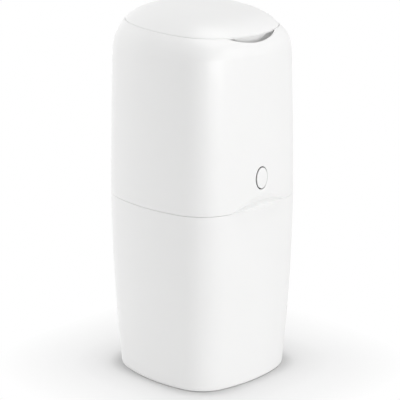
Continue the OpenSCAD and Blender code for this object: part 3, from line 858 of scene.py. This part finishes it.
# button: a slightly crowned white face with a round edge, drawn as ovals one behind the
# other, and behind it a dark carrier with its flange and stem
def makeButton(s):
    face, back = -float(wallHalf(s["z"])) - s["proud"], s["flangeY"]
    rings = [(t, face + s["crown"] * 0.6 * t ** 2.2) for t in (0.01, *np.linspace(0.12, 0.9, 9))]
    rings += [(0.9 + 0.1 * math.sin(a), face + s["crown"] * (0.5 + 0.9 * (1 - math.cos(a))))
              for a in np.linspace(0.25, 1, 7) * math.pi / 2]
    rings += [(1.0, s["capBack"] - 0.2 * mm), (0.98, s["capBack"]), (0.3, s["capBack"])]
    makePiece("release_button_cap", [(ovalGrid(s, rings, s["height"]), False)], "white_shell",
              ["release_button"], body="release_button", sharp=30)
    flange = 1 + s["flangeWider"] / s["width"]
    start, step, edge = s["capBack"] - 0.1 * mm, back - s["flangeThick"], 0.3 * mm
    plate = [(0.3, start), (0.95, start), (0.95, step), (flange - 0.02, step), (flange, step + edge),
             (flange, back - edge), (flange - 0.02, back), (0.3, back)]
    root = back - 0.5 * mm
    stem = rodGrid((0, root, s["z"]), (0, 1, 0), s["stem"], s["stemEnd"] - root)
    makePiece("release_button_carrier", [(ovalGrid(s, plate, s["height"]), False), (stem, False)],
              "dark_plastic", body="release_button")


makeButton(button)
print("button made")


# for each round piece its node, its finish, the radius of its corners, and the outline of its
# wall as radius and height, in mm
cassette = {
    "cassette_tray_well": ("cassette_tray", "inner_shell", 1, [
        (61, 430), (88.5, 430), (88.5, 490), (105, 490), (105, 493), (86, 493), (86, 433), (61, 433)]),
    "refill_cassette_tub": ("refill_cassette", "grey_plastic", 0.6, [
        (62, 433.2), (85, 433.2), (85, 486.2), (83, 486.2), (83, 435.2), (64, 435.2), (64, 482.2),
        (62, 482.2)]),
    "cassette_cover_ring": ("cassette_cover", "grey_plastic", 0.7, [
        (67, 483.2), (69, 483.2), (69, 486.2), (85, 486.2), (85, 488.2), (67, 488.2)]),
}


# wall turned round the Z axis, with round corners
def roundWall(corners, reach, turns=120):
    return turnedGrid((0, 0, 0), (0, 0, 1), softOutline(np.array(corners) * mm, reach), turns)


# tray with its well, tub of the refill cassette, and the ring that covers it
def makeCassette(s):
    for name, (node, slot, reach, corners) in s.items():
        makePiece(name, [(roundWall(corners, reach * mm), True)], slot, [node])


makeCassette(cassette)

filmPack = {"inner": 64.8 * mm, "outer": 82.2 * mm, "low": 435.5 * mm, "high": 481.1 * mm,
            "pleats": 30, "deep": 1.1 * mm, "sway": 0.0018}


# film pack: pleats stacked up, a zigzag on the outside going up and on the inside coming down,
# each pleat a little deeper or shallower, and swaying round the ring by a sum of two sines
def makeFilmPack(s):
    k = np.arange(2 * s["pleats"] + 1)
    z = s["low"] + (s["high"] - s["low"]) * k / k[-1]
    deep = (k % 2) * s["deep"] * (0.75 + 0.25 * np.sin(2.3 * k))
    r = np.concatenate([s["outer"] - deep, s["inner"] + deep[::-1]])
    grid = turnedGrid((0, 0, 0), (0, 0, 1), np.stack([r, np.concatenate([z, z[::-1]])], -1), 144)
    a = np.arctan2(grid[:, :, 1], grid[:, :, 0])
    row = np.arange(grid.shape[0])[:, None]
    sway = 1 - s["sway"] * (1 + 0.6 * np.sin(9 * a + 0.8 * row) + 0.4 * np.sin(23 * a - 1.7 * row))
    grid[:, :, :2] *= sway[:, :, None]
    makePiece("film_pack_pleats", [(grid, True)], "film", ["film_pack"], sharp=60)


makeFilmPack(filmPack)


# place of one screw, and its shape as in the keeper
trayScrew = {"x": 70.5 * mm, "y": 70.5 * mm, "z": 490 * mm, "shape": (3.5 * mm, 2 * mm, 1.75 * mm, 13 * mm)}
clampScrew = {"x": 70 * mm, "y": 36 * mm, "z": 427 * mm, "shape": (3.2 * mm, 2 * mm, 1.6 * mm, 6 * mm)}


# screws of a node at the four corners of a rectangle, heads down
def makeScrews(name, node, s):
    grids = [(screwGrid((x, y, s["z"]), (0, 0, -1), *s["shape"]), False)
             for x in (-s["x"], s["x"]) for y in (-s["y"], s["y"])]
    makePiece(name, grids, "steel", [node])


makeScrews("tray_screw_set", "tray_screws", trayScrew)
makeScrews("clamp_screw_set", "clamp_screws", clampScrew)
print("tray and cassette made")

clamp = {"x": 62 * mm, "y": 72 * mm, "low": 392 * mm, "high": 427.1 * mm, "wall": 4 * mm,
         "corner": 7 * mm, "plate": fourCorners(56, 86, 427, 430)}


# clamp frame: an upright frame of four walls with round corners, under a round plate
def makeClampFrame(s):
    def ring(inset, z):
        x, y = s["x"] - inset, s["y"] - inset
        flat = softOutline(fourCorners(-x, x, -y, y), s["corner"] - inset, 6)
        return np.column_stack([flat, z + 0 * flat[:, 0]])

    walls = [(ring(0, s["low"]), 0.8 * mm), (ring(0, s["high"]), 0.4 * mm),
             (ring(s["wall"], s["high"]), 0.4 * mm), (ring(s["wall"], s["low"]), 0.8 * mm)]
    grids = [(roundCorners(walls, True), True), (roundWall(s["plate"], 0.8 * mm), True)]
    makePiece("clamp_frame_walls", grids, "inner_shell", ["clamp_frame"])


makeClampFrame(clamp)

jaw = {"pinY": 62 * mm, "pinZ": 418 * mm, "pin": 2 * mm, "hub": 5 * mm, "half": 57 * mm,
       "plate": [(-3.4, 1.5), (-61.5, -9.8), (-61.5, -20), (-56.5, -20), (-56.5, -14), (-3.4, -2.9)],
       "rib": [(-3.6, -2.6), (-57, -13.6), (-57, -18), (-36, -13.6), (-4.4, -4.4)],
       "ribs": (-44, -22, 0, 22, 44), "ribHalf": 0.9 * mm}


# jaw: a sleeve on its pin, a sloping plate with a thick closing edge, and ribs under the plate;
# the outlines are in mm from the pin, outwards and up
def makeJaw(name, side, s):
    def across(corners):
        outline = [(side * (s["pinY"] + y * mm), s["pinZ"] + z * mm) for y, z in corners]
        return softOutline(outline, 1.2 * mm)

    grids = [(sleeveGrid((-s["half"], side * s["pinY"], s["pinZ"]), (1, 0, 0), s["pin"], s["hub"],
                         2 * s["half"]), True),
             (barGrid(0, across(s["plate"]), -s["half"], s["half"]), False)]
    for x in s["ribs"]:
        rib = barGrid(0, across(s["rib"]), x * mm - s["ribHalf"], x * mm + s["ribHalf"], 0.3 * mm)
        grids.append((rib, False))
    makePiece(name + "_plate", grids, "jaw_plastic", [name], body=name)


makeJaw("front_jaw", -1, jaw)
makeJaw("rear_jaw", 1, jaw)
makePins("front_jaw_rod", "front_jaw_pin", jaw["pin"])
makePins("rear_jaw_rod", "rear_jaw_pin", jaw["pin"])

jawCoil = {"x": 62.4 * mm, "radius": 3.2 * mm, "wire": 0.65 * mm, "count": 5, "length": 7.8 * mm}


# one coil round the end of each jaw's pin
def makeJawSprings(s):
    grids = []
    for y in (-jaw["pinY"], jaw["pinY"]):
        grids.append((coilGrid((s["x"], y, jaw["pinZ"]), (1, 0, 0), s["radius"], s["wire"], s["count"],
                               s["length"]), False))
    makePiece("jaw_spring_coils", grids, "steel", ["jaw_springs"])


makeJawSprings(jawCoil)

# outlines from the side, in mm
filmCutter = {"body": [(-80, 392), (-76.7, 392), (-76.7, 398.1), (-75.9, 398.1), (-75.9, 392), (-72, 392),
                       (-72, 404), (-80, 404)], "half": 28 * mm,
              "blade": [(-76.6, 398), (-76.6, 394.4), (-76.3, 393), (-76, 394.4), (-76, 398)],
              "bladeHalf": 24 * mm}


# film cutter: a block with a slot in its underside, and in the slot a blade with a ground edge
def makeCutter(s):
    outline = softOutline(np.array(s["body"]) * mm, 0.35 * mm)
    block = barGrid(0, outline, -s["half"], s["half"], 0.15 * mm)
    makePiece("film_cutter_block", [(block, False)], "grey_plastic", ["film_cutter"])
    outline = softOutline(np.array(s["blade"]) * mm, 0.04 * mm)
    blade = barGrid(0, outline, -s["bladeHalf"], s["bladeHalf"], 0.05 * mm)
    makePiece("cutter_blade_strip", [(blade, False)], "steel", ["cutter_blade"], sharp=20)


makeCutter(filmCutter)
print("clamp, jaws and cutter made")

guide = {"y": -103 * mm, "thick": 3 * mm, "halfX": 22 * mm, "halfZ": 23 * mm, "frontY": -115.2 * mm}


# button guide: a plate with a round hole for the stem, its outline a superellipse close to a
# rectangle, and two cheeks that reach forward to the wall
def makeGuide(s):
    a = np.arange(96) / 96 * 2 * math.pi
    outer = (np.abs(np.cos(a) / s["halfZ"]) ** 20 + np.abs(np.sin(a) / s["halfX"]) ** 20) ** (-1 / 20)
    hole, z = button["stem"] + pinPlay, button["z"]
    rows = [(np.stack([r * np.cos(a), r * np.sin(a), w + 0 * a], -1), 0.4 * mm)
            for r, w in ((hole, 0), (outer, 0), (outer, s["thick"]), (hole, s["thick"]))]
    plate = roundCorners(rows, True) @ frameAlong((0, 1, 0)) + np.array([0, s["y"], z])
    grids = [(plate, True)]
    for x in (-s["halfX"], s["halfX"] - s["thick"]):
        cheek = softOutline(fourCorners(x, x + s["thick"], s["frontY"], s["y"] + s["thick"]), 0.8 * mm)
        grids.append((barGrid(2, cheek, z - s["halfZ"], z + s["halfZ"]), False))
    makePiece("button_guide_plate", grids, "dark_plastic", ["button_guide"])


makeGuide(guide)

buttonCoil = {"from": -113.3 * mm, "to": -103.1 * mm, "radius": 6.6 * mm, "wire": 0.55 * mm, "count": 5,
              "keep": 0.61}


# coil between the button's flange and the guide; the button squeezes it as it goes in, but here it is made
# unsqueezed
def makeButtonSpring(s):
    grid = coilGrid((0, s["from"], button["z"]), (0, 1, 0), s["radius"], s["wire"], s["count"],
                    s["to"] - s["from"])
    obj = makePiece("button_spring_coil", [(grid, False)], "steel", ["button_spring"])
    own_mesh(obj)


makeButtonSpring(buttonCoil)

# outlines of the bracket from above and of the arm from the side, in mm
latch = {"y": -96.3 * mm, "z": 345 * mm, "pin": 1.5 * mm, "hub": 4.5 * mm, "half": 10.5 * mm,
         "armHalf": 8 * mm,
         "bracket": [(-14, -115.2), (14, -115.2), (14, -91.3), (11, -91.3), (11, -112.2), (-11, -112.2),
                     (-11, -91.3), (-14, -91.3)],
         "bracketZ": (339 * mm, 351 * mm),
         "arm": [(-97.8, 342), (-97.8, 256.5), (-108, 256.5), (-108, 254.6), (-106.4, 252.5),
                 (-94.8, 252.5), (-94.8, 342)]}


# latch: a channel-shaped bracket with its pin, and a lever with a sleeve and a hook at its foot
def makeLatch(s):
    channel = softOutline(np.array(s["bracket"]) * mm, 0.6 * mm)
    makePiece("latch_bracket_channel", [(barGrid(2, channel, *s["bracketZ"]), False)], "grey_plastic",
              ["latch_bracket"])
    makePins("latch_pin_rod", "latch_pin", s["pin"])
    arm = softOutline(np.array(s["arm"]) * mm, 0.7 * mm)
    sleeve = sleeveGrid((-s["half"], s["y"], s["z"]), (1, 0, 0), s["pin"], s["hub"], 2 * s["half"])
    makePiece("latch_lever_arm", [(barGrid(0, arm, -s["armHalf"], s["armHalf"]), False), (sleeve, True)],
              "grey_plastic", ["latch_lever"], body="latch_lever")


makeLatch(latch)
print("button guide and latch made")

liner = {"pan": [(1, -0.3), (62, -0.3), (66, -1.5), (93.4, -1.5), (93.4, 0.5), (1, 0.5)],
         "seal": [(87.5, -1.5), (88.6, -2.5), (89.4, -3.1), (90.6, -3.1), (91.4, -2.5), (92.5, -1.5)],
         "turns": 240, "hookRise": 1.2 * mm, "hookIn": 1 * mm}


# rings of the lid's outline, each at a half-width and a level, turned to the tilt of the lid line
def linerGrid(s, rings, reach, looped):
    u, tilt = np.arange(s["turns"]) / s["turns"], form["lidTilt"]
    keys = []
    for h, level in rings:
        x, y = planOutline(u, h * mm, 1.0)
        keys.append((np.stack([x, y * math.cos(tilt) - level * mm * math.sin(tilt),
                               lineZ + y * math.sin(tilt) + level * mm * math.cos(tilt)], -1), reach))
    return roundCorners(keys, looped)


# lid liner with a shallow step in its underside, the seal's bead round its edge, and the catch
def makeLiner(s):
    makePiece("lid_liner_pan", [(linerGrid(s, s["pan"], 0.7 * mm, False), False)], "inner_shell",
              ["lid_liner"], body="lid")
    makePiece("lid_seal_bead", [(linerGrid(s, s["seal"], 0.4 * mm, True), True)], "rubber",
              ["lid_seal"], body="lid")
    low, high = spanOf("lid_catch")
    hook = [(low[1], low[2] + s["hookRise"]), (low[1] + s["hookIn"], low[2]), (high[1], low[2]),
            (high[1], high[2]), (low[1], high[2])]
    makePiece("lid_catch_tongue", [(barGrid(0, softOutline(hook, 0.5 * mm), low[0], high[0]), False)],
              "grey_plastic", ["lid_catch"], body="lid")


makeLiner(liner)
print("lid's inside made")

light = {
    "world": 0.43,
    "lamps": {
        "front": {"place": (0.9, -3.2, 1.4), "size": (2.2, 2.2), "power": 13.6},
        "low": {"place": (-0.6, -3.2, 0.35), "size": (2.2, 0.6), "power": 28},
        "back": {"place": (-1.6, 2.9, 1.2), "size": (1.4, 2.2), "power": 51, "mirrored": False},
        "top": {"place": (0.2, -0.6, 3.2), "size": (2.0, 2.0), "power": 31},
    },
    "aim": (0, 0, 0.3),
}


# rectangular lamp, turned so that it shines at the aim
def areaLamp(name, s, aim):
    data = bpy.data.lights.new(name, "AREA")
    data.shape = "RECTANGLE"
    data.size, data.size_y = s["size"]
    data.energy = s["power"]
    obj = newObject(name, data)
    obj.visible_glossy = s.get("mirrored", True)
    way = np.array(aim, float) - np.array(s["place"], float)
    flat = math.hypot(way[0], way[1])
    obj.location = s["place"]
    obj.rotation_euler = (math.atan2(flat, -way[2]), 0, math.atan2(way[1], way[0]) - math.pi / 2)


# rays that see the plain white surroundings: the camera's, mirrored ones and those through glass
def plainRays(s):
    seen = None
    for ray in ("Is Camera Ray", "Is Glossy Ray", "Is Transmission Ray"):
        paths = s.tree.nodes.new("ShaderNodeLightPath")
        one = Wire(s, paths.outputs[ray])
        seen = one if seen is None else seen.maths("MAXIMUM", seen, one)
    return seen


# world: an even white light, and plain white where it is seen
def makeWorld(level):
    s = Shader(bpy.data.worlds.new("studio"), "ShaderNodeOutputWorld")
    lit = s.add("ShaderNodeBackground", {"Color": (1, 1, 1, 1), "Strength": level})
    plain = s.add("ShaderNodeBackground", {"Color": (1, 1, 1, 1), "Strength": 1.0})
    mixed = s.add("ShaderNodeMixShader", {0: plainRays(s), 1: lit, 2: plain})
    bpy.context.scene.world = s.finish(mixed)


ground = {"size": 6.0, "from": 0.108, "over": 0.2, "power": 3.5,
          "paint": ((0.93, 0.93, 0.93), (0.95, 0.95, 0.95)),
          # shade is the colour of the painted shade round the foot, share its share by distance from the
          # outline
          "shade": ((0.70, 0.70, 0.70), (0.72, 0.72, 0.72)),
          "share": [(0, 1.0), (0.03, 0.80), (0.05, 0.66), (0.07, 0.54), (0.11, 0.45), (0.15, 0.39),
                    (0.225, 0.32), (0.3, 0.245), (0.375, 0.21), (0.8, 0)]}


# floor: a wide square of white paint; where it is seen, plain white light takes over with the distance from
# the foot's outline, (|x|^p + |y|^p)^(1/p), by a ramp, so that it meets the background without a line;
# close to the foot the camera sees a darker paint instead, painted shade that deepens the real shadow round
# the foot
def makeFloor(g):
    s = Shader(bpy.data.materials.new("floorWhite"))
    spot = s.place()
    grain = s.noise(spot, 3.0, 2.0)
    paint = s.add("ShaderNodeBsdfDiffuse", {"Color": s.tint(grain, *g["paint"])})
    # painted shade: a darker paint that the camera sees round the foot
    paintedShade = s.add("ShaderNodeBsdfDiffuse", {"Color": s.tint(grain, *g["shade"])})
    glow = s.add("ShaderNodeEmission", {"Color": (1, 1, 1, 1), "Strength": 1.0})
    parts = s.tree.nodes.new("ShaderNodeSeparateXYZ")
    s.tree.links.new(spot.socket, parts.inputs[0])
    x, y = (spot.maths("ABSOLUTE", Wire(s, parts.outputs[i])) for i in (0, 1))
    away = (x ** g["power"] + y ** g["power"]) ** (1 / g["power"])
    keep = s.ramp((away - g["from"]) / g["over"], g["share"])
    seen = s.add("ShaderNodeMixShader", {0: keep, 1: glow, 2: paintedShade})
    mixed = s.add("ShaderNodeMixShader", {0: plainRays(s), 1: paint, 2: seen})
    size = g["size"]
    mesh = bpy.data.meshes.new("floor")
    mesh.from_pydata([(-size, -size, 0), (size, -size, 0), (size, size, 0), (-size, size, 0)], [],
                     [(0, 1, 2, 3)])
    mesh.materials.append(s.finish(mixed))
    obj = newObject("floor", mesh)


makeWorld(light["world"])
for name, lamp in light["lamps"].items():
    areaLamp(name + "Lamp", lamp, light["aim"])
makeFloor(ground)
bpy.context.scene.view_settings.view_transform = "Standard"
print("light and floor made")
